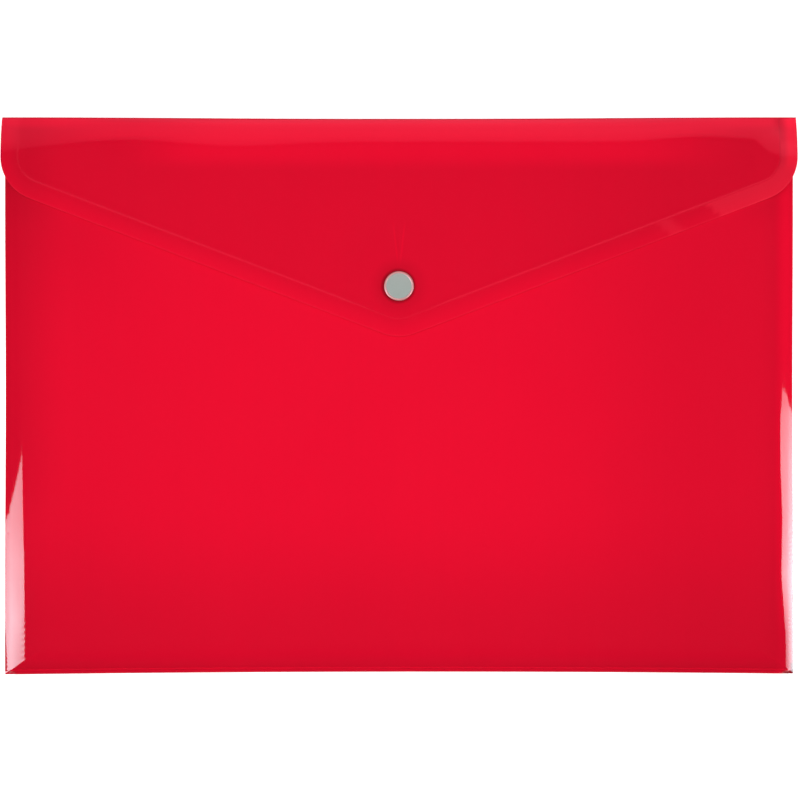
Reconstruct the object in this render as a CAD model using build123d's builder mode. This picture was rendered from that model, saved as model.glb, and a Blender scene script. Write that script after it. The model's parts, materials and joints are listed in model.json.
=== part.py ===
import os
from math import cos, hypot, radians, sin, sqrt, tan

from build123d import *

os.makedirs("parts", exist_ok=True)

# Document wallet, closed and lying on its back: X across, Y up the sheet, Z out of the front.
# The plastic sheet is split at its creases and welds, where it bends or is joined.

# Sheet and pocket
body_width = 335.0
body_height = 236.0
sheet = 0.3
pocket_depth = 4.9
mouth_setback = 12.0
side_flank = 12.0
bottom_flank = 7.0

# Bottom fold and side welds
bottom_lip = 2.0
bottom_bend_radius = 0.3
weld_width = 2.0
weld_pitch = 1.8
weld_dent_depth = 0.2
weld_dent_width = 0.9

# Flap and top crease
flap_overhang = 1.5
flap_shoulder_drop = 29.6
flap_point_drop = 93.8
flap_corner_radius = 19.0
flap_slope_deg = 18.0
flap_bend_radius = 15.0
rim_width = 7.4
bead_width = 0.8
bead_height = 0.12
crease_radius = 0.45
crease_gap = 0.05
lip_angle_deg = 32.0
lip_radius = 12.0
open_clearance = 0.05

# Press stud
stud_drop = 71.6
cap_diameter = 12.5
cap_height = 1.4
cap_edge_radius = 0.9
cap_wall = 0.3
cap_lip = 1.1
rivet_radius = 1.7
rivet_wall = 0.3
rivet_flange = 0.3
rivet_clearance = 0.1
flare_height = 0.3
flare_radius = 2.05
socket_radius = 5.0
socket_wall = 0.3
spring_wire = 0.6
spring_wire_sides = 8
spring_opening_deg = 40.0
spring_clearance = 0.1
spring_seat_gap = 0.05
stud_base_radius = 4.6
stud_base = 0.35
stud_wall = 0.3
stud_neck_radius = 2.5
stud_head_radius = 2.72
stud_head_height = 0.5
stud_clearance = 0.15
eyelet_radius = 4.4
eyelet_flange = 0.35
seat_gap = 0.1

cut_overrun = 5.0

# Levels and edges that follow from those sizes
half_width = body_width / 2
half_height = body_height / 2
flap_width = body_width + 2 * flap_overhang
weld_inner = half_width - weld_width
fold_edge = half_height - bottom_lip
mouth = half_height - mouth_setback
front_under = sheet + pocket_depth
front_top = front_under + sheet

stud_base_top = front_top + stud_base
socket_bottom = stud_base_top + seat_gap
spring_level = socket_bottom + socket_wall + spring_seat_gap + spring_wire / 2
neck_top = spring_level + spring_wire / 2
head_top = neck_top + stud_head_height
flare_bottom = head_top + seat_gap
flare_top = flare_bottom + flare_height
flap_under = flare_top + socket_wall
flap_top = flap_under + sheet
cap_top = flap_top + cap_height
stud_place = half_height - stud_drop

# The crease is half as high as the closed wallet, so the open flap lies over on its cap.
crease_outer = crease_radius + sheet
crease_level = cap_top / 2 + open_clearance
crease_place = half_height - crease_outer


def flank_radius(run, drop):
    """Radius of an arc that leaves the level and falls by drop over run."""
    return (run**2 + drop**2) / (2 * drop)


def flank_foot(run, inner_drop):
    """Height of the outer surface where a flank of even thickness ends."""
    outer = flank_radius(run, inner_drop) + sheet
    return front_top - outer + sqrt(outer**2 - run**2)


side_foot = flank_foot(side_flank, pocket_depth)
bend_outer = bottom_bend_radius + sheet
lip_under = sheet + 2 * bottom_bend_radius
lip_top = lip_under + sheet
bottom_foot = flank_foot(bottom_flank, front_under - lip_under)
side_flat = weld_inner - side_flank
bottom_flat = fold_edge - bottom_flank

stud_plane = Plane.XZ.offset(-stud_place)
stud_axis = Axis((0, stud_place, 0), (0, 0, 1))


# Lip of the back sheet: a bend upwards, then a straight slope that runs tangent into the crease.
lip_slope = radians(lip_angle_deg)
bend_start = (
    crease_place + crease_outer * sin(lip_slope),
    crease_level - crease_outer * cos(lip_slope),
)
lip_bend_top = lip_radius * (1 - cos(lip_slope))
lip_bend_end = bend_start[0] - (bend_start[1] - lip_bend_top) / tan(lip_slope)
lip_start = lip_bend_end - lip_radius * sin(lip_slope)


# Back panel: a flat plate from the bottom fold to the lip of the top fold.
with BuildPart() as back_panel:
    with BuildSketch():
        with Locations((0, (lip_start - fold_edge) / 2)):
            Rectangle(2 * weld_inner, lip_start + fold_edge)
    extrude(amount=sheet)
back_panel.part.label = "back_panel"
export_step(back_panel.part, "parts/back_panel.step")


# Front panel: a flat crown with rounded flanks at the sides and the bottom, mitred at the corners.
def crown_profile(top, side_end):
    """Section across the wallet, under a crown at the height top whose flanks end at side_end."""
    with BuildLine() as profile:
        Line((-weld_inner, 0), (-weld_inner, side_end))
        TangentArc((-side_flat, top), (-weld_inner, side_end), tangent=(-1, 0))
        Line((-side_flat, top), (side_flat, top))
        TangentArc((side_flat, top), (weld_inner, side_end), tangent=(1, 0))
        Polyline((weld_inner, side_end), (weld_inner, 0), (-weld_inner, 0))
    make_face(profile.edges())


def length_profile(top, bottom_end, upper_end):
    """Section up the wallet, with one flank at the bottom and a square upper end."""
    with BuildLine() as profile:
        Line((-fold_edge, 0), (-fold_edge, bottom_end))
        TangentArc((-bottom_flat, top), (-fold_edge, bottom_end), tangent=(-1, 0))
        Polyline((-bottom_flat, top), (upper_end, top), (upper_end, 0), (-fold_edge, 0))
    make_face(profile.edges())


with BuildPart() as pocket_space:
    with BuildSketch(Plane.XZ):
        crown_profile(front_under, sheet)
    extrude(amount=half_height, both=True)
    with BuildSketch(Plane.YZ):
        length_profile(front_under, lip_under, mouth + cut_overrun)
    extrude(amount=half_width, both=True, mode=Mode.INTERSECT)

with BuildPart() as front_panel:
    with BuildSketch(Plane.XZ):
        crown_profile(front_top, side_foot)
    extrude(amount=half_height, both=True)
    with BuildSketch(Plane.YZ):
        length_profile(front_top, bottom_foot, mouth)
    extrude(amount=half_width, both=True, mode=Mode.INTERSECT)
    add(pocket_space.part, mode=Mode.SUBTRACT)
    with BuildSketch(Plane.XY.offset(front_under)):
        with Locations((0, stud_place)):
            Circle(rivet_radius + rivet_clearance)
    extrude(amount=sheet, mode=Mode.SUBTRACT)
front_panel.part.label = "front_panel"
export_step(front_panel.part, "parts/front_panel.step")


# Bottom fold: the back sheet turned up through a half circle into a short lip.
bend_place = bend_outer - half_height

with BuildPart() as bottom_fold:
    with BuildSketch(Plane.YZ):
        with BuildLine():
            Polyline((bend_place, 0), (-fold_edge, 0), (-fold_edge, sheet), (bend_place, sheet))
            ThreePointArc(
                (bend_place, sheet),
                (bend_place - bottom_bend_radius, bend_outer),
                (bend_place, lip_under),
            )
            Polyline(
                (bend_place, lip_under),
                (-fold_edge, lip_under),
                (-fold_edge, bottom_foot),
                (bend_place, lip_top),
            )
            ThreePointArc((bend_place, lip_top), (-half_height, bend_outer), (bend_place, 0))
        make_face()
    extrude(amount=weld_inner, both=True)
bottom_fold.part.label = "bottom_fold"
export_step(bottom_fold.part, "parts/bottom_fold.step")


# Side welds: a bead along each edge with a row of dents from the welding tool.
weld_length = mouth + half_height
dent_count = int((weld_length - weld_dent_width) / weld_pitch)

with BuildPart() as right_side_weld:
    with BuildSketch(Plane.YZ.offset(weld_inner)):
        with Locations(((mouth - half_height) / 2, side_foot / 2)):
            Rectangle(weld_length, side_foot)
        with Locations(((mouth - half_height) / 2, side_foot)):
            with GridLocations(weld_pitch, weld_pitch, dent_count, 1):
                Polygon(
                    (-weld_dent_width / 2, 0),
                    (0, -weld_dent_depth),
                    (weld_dent_width / 2, 0),
                    align=(Align.CENTER, Align.MAX),
                    mode=Mode.SUBTRACT,
                )
    extrude(amount=weld_width)
right_side_weld.part.label = "right_side_weld"
export_step(right_side_weld.part, "parts/right_side_weld.step")

with BuildPart() as left_side_weld:
    mirror(right_side_weld.part, about=Plane.YZ)
left_side_weld.part.label = "left_side_weld"
export_step(left_side_weld.part, "parts/left_side_weld.step")


# Top fold: the back sheet's lip rises to the crease and turns round the flap's axis.
flap_slope = radians(flap_slope_deg)
bend_end = (
    crease_place + crease_outer * sin(flap_slope),
    crease_level + crease_outer * cos(flap_slope),
)

with BuildPart() as top_fold:
    with BuildSketch(Plane.YZ):
        with BuildLine():
            TangentArc((lip_start, 0), (lip_bend_end, lip_bend_top), tangent=(1, 0))
            Line((lip_bend_end, lip_bend_top), bend_start)
            ThreePointArc(bend_start, (half_height, crease_level), bend_end)
            offset(amount=sheet, side=Side.LEFT)
        make_face()
    extrude(amount=flap_width / 2, both=True)
top_fold.part.label = "top_fold"
export_step(top_fold.part, "parts/top_fold.step")


# Flap: slopes up from the crease, bends level over the mouth and ends in a rounded point.
flap_rise = flap_top - flap_bend_radius * (1 - cos(flap_slope))
knee_run = (flap_rise - bend_end[1]) / tan(flap_slope)
knee = (bend_end[0] - knee_run, flap_rise)
level_start = (knee[0] - flap_bend_radius * sin(flap_slope), flap_top)
flap_start = (
    bend_end[0] - crease_gap * cos(flap_slope),
    bend_end[1] + crease_gap * sin(flap_slope),
)
flap_tip = (half_height - flap_point_drop, flap_top)


def flap_section(inner):
    """Section of the flap along its outer surface, thickened on the outside or the inside."""
    with BuildLine() as profile:
        Line(flap_start, knee)
        TangentArc(knee, level_start, tangent=(-cos(flap_slope), sin(flap_slope)))
        Line(level_start, flap_tip)
        offset(amount=sheet if inner else bead_height, side=Side.LEFT if inner else Side.RIGHT)
    make_face(profile.edges())


def flap_outline(inset):
    """The flap seen from the front, drawn in by inset along its free edges."""
    fall = flap_point_drop - flap_shoulder_drop
    side = flap_width / 2 - inset
    edge_slope = 2 * fall / flap_width
    point = half_height - flap_point_drop + inset * hypot(1, edge_slope)
    shoulder = point + side * edge_slope
    top = half_height + cut_overrun
    with BuildLine() as profile:
        Polyline((-side, top), (-side, shoulder), (0, point), (side, shoulder), (side, top), close=True)
    make_face(profile.edges())
    fillet(vertices().sort_by(Axis.Y)[:3], radius=flap_corner_radius - inset)


with BuildPart() as bead:
    with BuildSketch(Plane.YZ):
        flap_section(inner=False)
    extrude(amount=flap_width / 2, both=True)
    with BuildSketch():
        flap_outline(rim_width - bead_width / 2)
    extrude(amount=cap_top, mode=Mode.INTERSECT)
    with BuildSketch():
        flap_outline(rim_width + bead_width / 2)
    extrude(amount=cap_top, mode=Mode.SUBTRACT)

with BuildPart() as flap:
    with BuildSketch(Plane.YZ):
        flap_section(inner=True)
    extrude(amount=flap_width / 2, both=True)
    with BuildSketch():
        flap_outline(0)
    extrude(amount=cap_top, mode=Mode.INTERSECT)
    add(bead.part)
    with BuildSketch(Plane.XY.offset(flap_under)):
        with Locations((0, stud_place)):
            Circle(rivet_radius + rivet_clearance)
    extrude(amount=sheet, mode=Mode.SUBTRACT)
flap.part.label = "flap"
export_step(flap.part, "parts/flap.step")


# Press stud, upper half: a drawn cap closed round the flange of a tubular rivet.
cap_radius = cap_diameter / 2
cap_inside = cap_radius - cap_wall
cap_flat = cap_radius - cap_edge_radius
cap_edge = cap_top - cap_edge_radius
cap_seat = flap_top + cap_wall
rivet_bore = rivet_radius - rivet_wall
rivet_hole = rivet_radius + rivet_clearance

with BuildPart() as cap_shell:
    with BuildSketch(stud_plane):
        with BuildLine():
            TangentArc((cap_flat, cap_top), (cap_radius, cap_edge), tangent=(1, 0))
            Polyline(
                (cap_radius, cap_edge),
                (cap_radius, cap_seat),
                (cap_inside, flap_top),
                (cap_radius - cap_lip, flap_top),
                (cap_radius - cap_lip, cap_seat),
                (cap_inside, cap_seat),
                (cap_inside, cap_edge),
                (cap_flat, cap_top - cap_wall),
                (0, cap_top - cap_wall),
                (0, cap_top),
                (cap_flat, cap_top),
            )
        make_face()
    revolve(axis=stud_axis)
cap_shell.part.label = "cap_shell"
export_step(cap_shell.part, "parts/cap_shell.step")

with BuildPart() as cap_rivet:
    with BuildSketch(stud_plane):
        with BuildLine():
            Polyline(
                (rivet_bore, flare_bottom),
                (flare_radius, flare_bottom),
                (flare_radius, flare_top),
                (rivet_radius, flare_top),
                (rivet_radius, cap_seat),
                (cap_inside - rivet_clearance, cap_seat),
                (cap_inside - rivet_clearance, cap_seat + rivet_flange),
                (rivet_bore, cap_seat + rivet_flange),
                close=True,
            )
        make_face()
    revolve(axis=stud_axis)
cap_rivet.part.label = "cap_rivet"
export_step(cap_rivet.part, "parts/cap_rivet.step")


# Socket under the flap: a shallow can with a turned-in rim, which keeps the ring spring inside.
socket_inside = socket_radius - socket_wall
socket_floor = socket_bottom + socket_wall
socket_mouth = stud_head_radius + stud_clearance
socket_edge = 2 * socket_wall

with BuildPart() as socket:
    with BuildSketch(stud_plane):
        with BuildLine():
            Polyline(
                (rivet_hole, flap_under),
                (socket_radius, flap_under),
                (socket_radius, socket_bottom + socket_edge),
                (socket_radius - socket_edge, socket_bottom),
                (socket_mouth, socket_bottom),
                (socket_mouth, socket_floor),
                (socket_radius - socket_edge, socket_floor),
                (socket_inside, socket_bottom + socket_edge),
                (socket_inside, flare_top),
                (rivet_hole, flare_top),
                close=True,
            )
        make_face()
    revolve(axis=stud_axis)
socket.part.label = "socket"
export_step(socket.part, "parts/socket.step")

# The ring spring's opening faces the point of the flap.
spring_radius = stud_neck_radius + spring_clearance + spring_wire / 2
spring_turn = radians(spring_opening_deg / 2 - 90)
spring_plane = Plane(
    origin=(0, stud_place, 0),
    x_dir=(cos(spring_turn), sin(spring_turn), 0),
    z_dir=(sin(spring_turn), -cos(spring_turn), 0),
)

with BuildPart() as socket_spring:
    with BuildSketch(spring_plane):
        with Locations((spring_radius, spring_level)):
            RegularPolygon(spring_wire / 2, spring_wire_sides)
    revolve(axis=stud_axis, revolution_arc=360 - spring_opening_deg)
socket_spring.part.label = "socket_spring"
export_step(socket_spring.part, "parts/socket_spring.step")


# Press stud, lower half: the stud on the front panel and the eyelet that holds it from inside.
stud_bore = stud_neck_radius - stud_wall

with BuildPart() as stud:
    with BuildSketch(stud_plane):
        with BuildLine():
            Polyline(
                (rivet_hole, front_top),
                (stud_base_radius, front_top),
                (stud_base_radius, stud_base_top),
                (stud_neck_radius, stud_base_top),
                (stud_neck_radius, neck_top),
            )
            ThreePointArc(
                (stud_neck_radius, neck_top),
                (stud_head_radius, (neck_top + head_top) / 2),
                (stud_neck_radius, head_top),
            )
            Polyline(
                (stud_neck_radius, head_top),
                (stud_bore, head_top),
                (stud_bore, stud_base_top),
                (rivet_hole, stud_base_top),
                (rivet_hole, front_top),
            )
        make_face()
    revolve(axis=stud_axis)
stud.part.label = "stud"
export_step(stud.part, "parts/stud.step")

with BuildPart() as stud_rivet:
    with BuildSketch(stud_plane):
        with BuildLine():
            Polyline(
                (rivet_bore, front_under - eyelet_flange),
                (eyelet_radius, front_under - eyelet_flange),
                (eyelet_radius, front_under),
                (rivet_radius, front_under),
                (rivet_radius, stud_base_top),
                (flare_radius, stud_base_top),
                (flare_radius, stud_base_top + flare_height),
                (rivet_bore, stud_base_top + flare_height),
                close=True,
            )
        make_face()
    revolve(axis=stud_axis)
stud_rivet.part.label = "stud_rivet"
export_step(stud_rivet.part, "parts/stud_rivet.step")
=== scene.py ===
import json
import math

import bpy
import numpy as np
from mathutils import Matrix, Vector


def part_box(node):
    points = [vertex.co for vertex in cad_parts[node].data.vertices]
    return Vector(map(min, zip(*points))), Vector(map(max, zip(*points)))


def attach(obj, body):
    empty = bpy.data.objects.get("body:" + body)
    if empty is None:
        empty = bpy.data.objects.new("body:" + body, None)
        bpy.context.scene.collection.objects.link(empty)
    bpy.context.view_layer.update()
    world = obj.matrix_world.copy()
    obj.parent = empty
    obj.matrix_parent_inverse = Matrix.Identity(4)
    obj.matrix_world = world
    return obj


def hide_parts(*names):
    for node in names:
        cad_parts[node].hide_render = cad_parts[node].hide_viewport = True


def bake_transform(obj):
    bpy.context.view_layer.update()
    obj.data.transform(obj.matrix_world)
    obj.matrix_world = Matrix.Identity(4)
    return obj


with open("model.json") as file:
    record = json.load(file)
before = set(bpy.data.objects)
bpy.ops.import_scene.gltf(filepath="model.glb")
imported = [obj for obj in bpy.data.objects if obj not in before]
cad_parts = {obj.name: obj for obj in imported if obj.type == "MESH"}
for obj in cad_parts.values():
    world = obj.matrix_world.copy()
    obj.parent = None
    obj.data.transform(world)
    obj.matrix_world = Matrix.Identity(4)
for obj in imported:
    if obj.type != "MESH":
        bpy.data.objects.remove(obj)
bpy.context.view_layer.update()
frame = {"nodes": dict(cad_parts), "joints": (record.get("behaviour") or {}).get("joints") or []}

# Document wallet, closed and lying on its back: X across, Y up the sheet, Z out of the front.
# Shapes are worked out in millimetres and scaled to metres when a mesh is made.
# A stretch is a pair of places: where a change begins and where it is complete.
MM = 0.001


def node_box(node):
    """Lowest and highest corner of a solid, in millimetres."""
    low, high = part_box(node)
    return np.array(low) / MM, np.array(high) / MM


# Sizes of the solids that the sheets and the cap follow
weld_low, weld_high = node_box("right_side_weld")
crease_low, crease_high = node_box("top_fold")
cap_low, cap_high = node_box("cap_shell")
front_high = node_box("front_panel")[1]
hinge = np.array(frame["joints"][0]["pos_m"]) / MM

sheet = node_box("back_panel")[1][2]
half_width = weld_high[0]
weld_inner = weld_low[0]
half_height = crease_high[1]
fold_edge = -node_box("bottom_fold")[1][1]
mouth = front_high[1]
front_top = front_high[2]
lip_start = crease_low[1]
half_flap = node_box("flap")[1][0]
flap_top = cap_low[2]
cap_top = cap_high[2]
cap_radius = cap_high[0]
stud_place = (cap_low[1] + cap_high[1]) / 2
crease_place = hinge[1]
crease_level = hinge[2]
crease_outer = half_height - crease_place


def smooth(stretch, value):
    """0 before a stretch and 1 after it, with a smooth rise between."""
    start, end = stretch
    t = np.clip((value - start) / (end - start), 0.0, 1.0)
    return t * t * (3 - 2 * t)


def bell(value, width):
    """A hump of height 1 that fades out over about twice its width."""
    return np.exp(-((value / width) ** 2))


def humps(value, shapes):
    """Bells added up. Each shape is a height, a place and a width."""
    return sum(height * bell(value - place, width) for height, place, width in shapes)


def patches(first, second, shapes):
    """Soft patches added up. Each shape is an amount and its stretches in two directions."""
    return sum(amount * smooth(one, first) * smooth(other, second) for amount, one, other in shapes)


# Meshes
def numbered(shape):
    """Vertex numbers of a grid."""
    return np.arange(math.prod(shape)).reshape(shape)


def grid_faces(grid):
    """Quads between the vertex numbers of a grid, first index along +X, second index along +Y."""
    corners = (grid[:-1, :-1], grid[1:, :-1], grid[1:, 1:], grid[:-1, 1:])
    quads = np.stack([c.ravel() for c in corners], axis=1)
    return [tuple(q) for q in quads.tolist()]


def without_repeats(faces):
    """Faces without repeated corners. Those that are left with fewer than three corners go."""
    shorter = [tuple(dict.fromkeys(face)) for face in faces]
    return [face for face in shorter if len(face) > 2]


def surface_normals(points, faces):
    """Unit normals of a surface at its points."""
    normals = np.zeros_like(points)
    for face in faces:
        corners = points[list(face)]
        across = corners[2] - corners[0]
        other = corners[-1] - corners[1]
        normals[list(face)] += np.cross(across, other)
    return normals / np.linalg.norm(normals, axis=1, keepdims=True)


def closed(points, under, faces):
    """A closed body between a surface and the points that lie under it."""
    count = len(points)
    edges = set()
    for face in faces:
        edges.update(zip(face, face[1:] + face[:1]))
    below = [tuple(number + count for number in reversed(face)) for face in faces]
    walls = [(b, a, a + count, b + count) for a, b in edges if (b, a) not in edges]
    return np.vstack([points, under]), faces + below + sorted(walls)


def add_object(name, data):
    """An object that stands in the scene."""
    item = bpy.data.objects.new(name, data)
    bpy.context.scene.collection.objects.link(item)
    return item


def make_piece(name, points, faces, material, sharp_angle=40):
    """A mesh object with smooth faces and sharp edges past an angle."""
    mesh = bpy.data.meshes.new(name)
    mesh.from_pydata((points * MM).tolist(), [], faces)
    mesh.shade_smooth()
    mesh.set_sharp_from_angle(angle=math.radians(sharp_angle))
    mesh.materials.append(material)
    piece = add_object(name, mesh)
    return piece


def set_attribute(piece, name, values):
    """One number for each vertex, which the material reads."""
    attribute = piece.data.attributes.new(name, "FLOAT", "POINT")
    attribute.data.foreach_set("value", np.asarray(values, np.float32))


def sheet_piece(name, points, under, faces, material, tone, painted_highlight):
    """A closed sheet, with the tone of its surface, which holds painted light and shade, and how much it
    has of the painted highlight's colour.
    """
    solid, solid_faces = closed(points, under, faces)
    piece = make_piece(name, solid, solid_faces, material)
    set_attribute(piece, "shade", np.tile(tone, 2))
    set_attribute(piece, "painted_highlight", np.tile(painted_highlight, 2))
    return piece


# Materials
UNIT = (0.0, 1.0)


def new_material(name):
    """A node material, with its node tree and its shader."""
    material = bpy.data.materials.new(name)
    material.use_nodes = True
    return material, material.node_tree, material.node_tree.nodes["Principled BSDF"]


def add_node(tree, kind, inputs=None, **settings):
    """A node with its settings, and its inputs joined to sockets or set to values."""
    node = tree.nodes.new(kind)
    for key, value in settings.items():
        setattr(node, key, value)
    for key, value in (inputs or {}).items():
        if isinstance(value, bpy.types.NodeSocket):
            tree.links.new(value, node.inputs[key])
        else:
            node.inputs[key].default_value = value
    return node


def stored(tree, name, output="Fac"):
    """What a mesh stores at its vertices."""
    return add_node(tree, "ShaderNodeAttribute", attribute_name=name).outputs[output]


def object_noise(tree, scale, stretch=(1, 1, 1), detail=2.0):
    """Noise in the object's own space: scale is in bumps per metre."""
    place = add_node(tree, "ShaderNodeTexCoord").outputs["Object"]
    spread = add_node(tree, "ShaderNodeMapping", {"Vector": place, "Scale": stretch})
    vector = spread.outputs["Vector"]
    noise = add_node(tree, "ShaderNodeTexNoise", {"Vector": vector, "Scale": scale, "Detail": detail})
    return noise.outputs["Fac"]


def mapped(tree, value, start, result, blend="LINEAR"):
    """A value spread from one range over another."""
    inputs = {"Value": value, "From Min": start[0], "From Max": start[1]}
    inputs.update({"To Min": result[0], "To Max": result[1]})
    return add_node(tree, "ShaderNodeMapRange", inputs, interpolation_type=blend).outputs["Result"]


def to_range(tree, value, result):
    """A value from 0 to 1 spread over another range."""
    return mapped(tree, value, UNIT, result)


def arithmetic(tree, operation, *values):
    """Values put together by one operation."""
    return add_node(tree, "ShaderNodeMath", dict(enumerate(values)), operation=operation).outputs[0]


def product(tree, first, second):
    """Two values multiplied."""
    return arithmetic(tree, "MULTIPLY", first, second)


def tinted(tree, colour, tone):
    """A colour made deeper or paler."""
    node = add_node(tree, "ShaderNodeVectorMath", {0: colour, "Scale": tone}, operation="SCALE")
    return node.outputs["Vector"]


def mixed(tree, share, first, second):
    """A colour between two colours."""
    node = add_node(tree, "ShaderNodeMix", {"Factor": share, "A": first, "B": second}, data_type="RGBA")
    return node.outputs["Result"]


def add_relief(tree, shader, height, strength, depth):
    """Fine relief that shows in the gloss."""
    bump = add_node(tree, "ShaderNodeBump", {"Height": height, "Strength": strength, "Distance": depth})
    tree.links.new(bump.outputs["Normal"], shader.inputs["Normal"])


# Painted shadow of the press stud's cap on the sheet: a narrow dark ring and a wide soft one, each with a
# width and a tone at the cap
CAP_SHADOW_SHIFT = (0.25, 0.0, 0.0)
CAP_SHADOW_RINGS = ((1.7, 0.45), (7.5, 0.86))


def painted_cap_shadow(tree, offset):
    """Painted shadow round the press stud's cap: a narrow dark ring in a wide soft one, deepest on the
    left.
    """
    moved = add_node(tree, "ShaderNodeVectorMath", {0: offset, 1: CAP_SHADOW_SHIFT}, operation="ADD")
    length = add_node(tree, "ShaderNodeVectorMath", {0: moved.outputs["Vector"]}, operation="LENGTH")
    far = length.outputs["Value"]
    rings = []
    for width, tone in CAP_SHADOW_RINGS:
        rings.append(mapped(tree, far, (cap_radius, cap_radius + width), (tone, 1.0), "SMOOTHSTEP"))
    return product(tree, *rings)


# Painted highlights along the two pucker ridges: their stretch above the stud, half their distance there,
# and how they begin and end
LINE_STRETCH = (9.0, 28.0)
LINE_SPREAD = (0.4, 2.6)
LINE_WIDTH = 0.7
LINE_START = (8.0, 13.0)
LINE_END = (29.0, 22.0)
PUCKER_HIGHLIGHT_TONE = 1.09


def painted_pucker_highlights(tree, offset):
    """Two fine pale lines that run together down to the press stud, painted highlights along the pucker
    ridges.
    """
    parts = add_node(tree, "ShaderNodeSeparateXYZ", {"Vector": offset}).outputs
    spread = mapped(tree, parts["Y"], LINE_STRETCH, LINE_SPREAD)
    miss = arithmetic(tree, "SUBTRACT", arithmetic(tree, "ABSOLUTE", parts["X"]), spread)
    line = mapped(tree, arithmetic(tree, "ABSOLUTE", miss), (0.0, LINE_WIDTH), (1.0, 0.0), "SMOOTHSTEP")
    ends = [mapped(tree, parts["Y"], stretch, UNIT, "SMOOTHSTEP") for stretch in (LINE_START, LINE_END)]
    return to_range(tree, product(tree, line, product(tree, *ends)), (1.0, PUCKER_HIGHLIGHT_TONE))


SHEET_COLOUR = (0.86, 0.0014, 0.0262)
# Pale colour mixed in for painted highlights and painted reflections
PAINTED_HIGHLIGHT_COLOUR = (0.93, 0.045, 0.085, 1.0)
SHEET_IOR = 1.49
MOTTLE_SCALE = 18.0
MOTTLE_TONES = (0.98, 1.02)
STREAK_SCALE = 1.0
STREAK_STRETCH = (260.0, 5.0, 5.0)
STREAK_TONES = (0.988, 1.012)
HAZE_SCALE = 90.0
HAZE_DETAIL = 4.0
HAZE_ROUGHNESS = (0.025, 0.055)
GRAIN_SCALE = 700.0
GRAIN_DETAIL = 3.0
GRAIN_STRENGTH = 0.03
GRAIN_DEPTH = 0.0001


def red_sheet_material(name, with_stud_shading=False):
    """Glossy red sheet: faint mottling and extrusion streaks, with painted light and shade from its shade
    attribute and painted highlights at its cut edges and elsewhere.
    """
    material, tree, shader = new_material(name)
    mottle = to_range(tree, object_noise(tree, MOTTLE_SCALE), MOTTLE_TONES)
    streaks = to_range(tree, object_noise(tree, STREAK_SCALE, STREAK_STRETCH), STREAK_TONES)
    tone = product(tree, product(tree, stored(tree, "shade"), mottle), streaks)
    # On the flap: a painted shadow round the press stud's cap and painted highlights along the pucker
    # ridges
    if with_stud_shading:
        offset = stored(tree, "stud_offset", "Vector")
        tone = product(tree, tone, painted_cap_shadow(tree, offset))
        tone = product(tree, tone, painted_pucker_highlights(tree, offset))
    colour = mixed(tree, stored(tree, "painted_highlight"), tinted(tree, SHEET_COLOUR, tone), PAINTED_HIGHLIGHT_COLOUR)
    tree.links.new(colour, shader.inputs["Base Color"])
    haze = to_range(tree, object_noise(tree, HAZE_SCALE, detail=HAZE_DETAIL), HAZE_ROUGHNESS)
    tree.links.new(haze, shader.inputs["Roughness"])
    grain = object_noise(tree, GRAIN_SCALE, detail=GRAIN_DETAIL)
    add_relief(tree, shader, grain, GRAIN_STRENGTH, GRAIN_DEPTH)
    shader.inputs["IOR"].default_value = SHEET_IOR
    return material


METAL_TONES = (0.93, 1.05)
METAL_DETAIL = 3.0
METAL_STRENGTH = 0.05
METAL_DEPTH = 0.00005


def metal_material(name, colour, metallic, roughness, grain_scale, grain_stretch=(1, 1, 1)):
    """Plated or drawn metal with a fine uneven polish."""
    material, tree, shader = new_material(name)
    grain = object_noise(tree, grain_scale, grain_stretch, METAL_DETAIL)
    tone = to_range(tree, grain, METAL_TONES)
    tree.links.new(tinted(tree, colour, tone), shader.inputs["Base Color"])
    tree.links.new(to_range(tree, grain, roughness), shader.inputs["Roughness"])
    add_relief(tree, shader, grain, METAL_STRENGTH, METAL_DEPTH)
    shader.inputs["Metallic"].default_value = metallic
    return material


CAP_CENTRE = (0.343, 0.450, 0.412, 1.0)
# The rim's pale pinkish colour is a painted highlight and a painted reflection of the red sheet
CAP_RIM_HIGHLIGHT = (0.72, 0.385, 0.38, 1.0)
CAP_METALLIC = 0.35
CAP_ROUGHNESS = (0.46, 0.42)
CAP_TONES = (0.96, 1.04)
CLOUD_SCALE = 900.0
CLOUD_DETAIL = 4.0
TURNING_SCALE = 60.0
TURNING_STRENGTH = 0.04
TURNING_DEPTH = 0.00005


def satin_cap_material():
    """Satin plate with fine turning marks, and a polished rim whose pale colour is a painted highlight and
    reflection.
    """
    material, tree, shader = new_material("satin_cap")
    rim = stored(tree, "rim")
    turning = {"W": stored(tree, "radius"), "Scale": TURNING_SCALE}
    marks = add_node(tree, "ShaderNodeTexNoise", turning, noise_dimensions="1D").outputs["Fac"]
    cloud = to_range(tree, object_noise(tree, CLOUD_SCALE, detail=CLOUD_DETAIL), CAP_TONES)
    tone = product(tree, to_range(tree, marks, CAP_TONES), cloud)
    colour = tinted(tree, mixed(tree, rim, CAP_CENTRE, CAP_RIM_HIGHLIGHT), tone)
    tree.links.new(colour, shader.inputs["Base Color"])
    tree.links.new(to_range(tree, rim, CAP_ROUGHNESS), shader.inputs["Roughness"])
    add_relief(tree, shader, marks, TURNING_STRENGTH, TURNING_DEPTH)
    shader.inputs["Metallic"].default_value = CAP_METALLIC
    return material


red_sheet = red_sheet_material("red_sheet")
stud_shaded_sheet = red_sheet_material("stud_shaded_sheet", with_stud_shading=True)
satin_cap = satin_cap_material()
plated_brass = metal_material(
    "plated_brass",
    colour=(0.66, 0.65, 0.61),
    metallic=0.9,
    roughness=(0.18, 0.32),
    grain_scale=1400.0,
)
spring_steel = metal_material(
    "spring_steel",
    colour=(0.52, 0.52, 0.53),
    metallic=0.95,
    roughness=(0.25, 0.42),
    grain_scale=900.0,
    grain_stretch=(1.0, 1.0, 6.0),
)


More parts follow.
